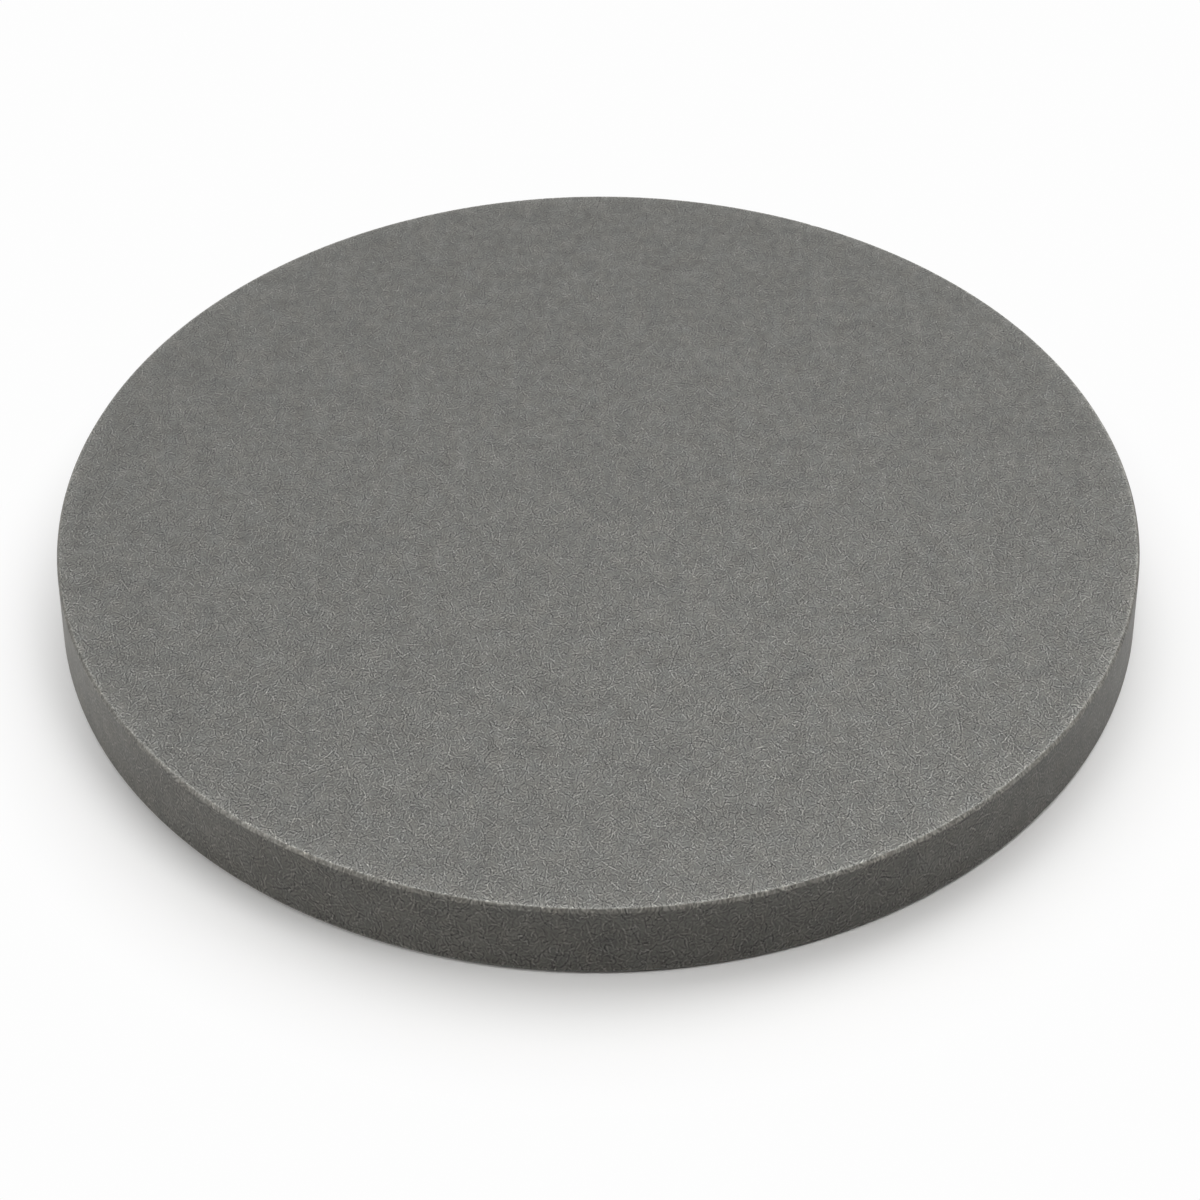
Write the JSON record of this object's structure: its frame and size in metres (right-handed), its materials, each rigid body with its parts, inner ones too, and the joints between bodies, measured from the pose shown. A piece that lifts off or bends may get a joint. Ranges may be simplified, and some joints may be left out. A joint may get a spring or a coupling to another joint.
{
  "type": "sputtering target",
  "caption": "Solid round ceramic sputtering target, ground flat and matt on both faces and its rim, with small broken edges, for the cathode of a thin-film deposition machine.",
  "frame": {"origin": "centre of the back face, which the disc rests on", "axes": "+Z out of the front face, the one that is sputtered, along the disc's axis"},
  "size_m": [0.0508, 0.0508, 0.004],
  "materials": {
    "ceramic": "matt ground grey, with fine random lapping scratches"
  },
  "bodies": {
    "root": {"target_disc": "ceramic"}
  },
  "joints": []
}
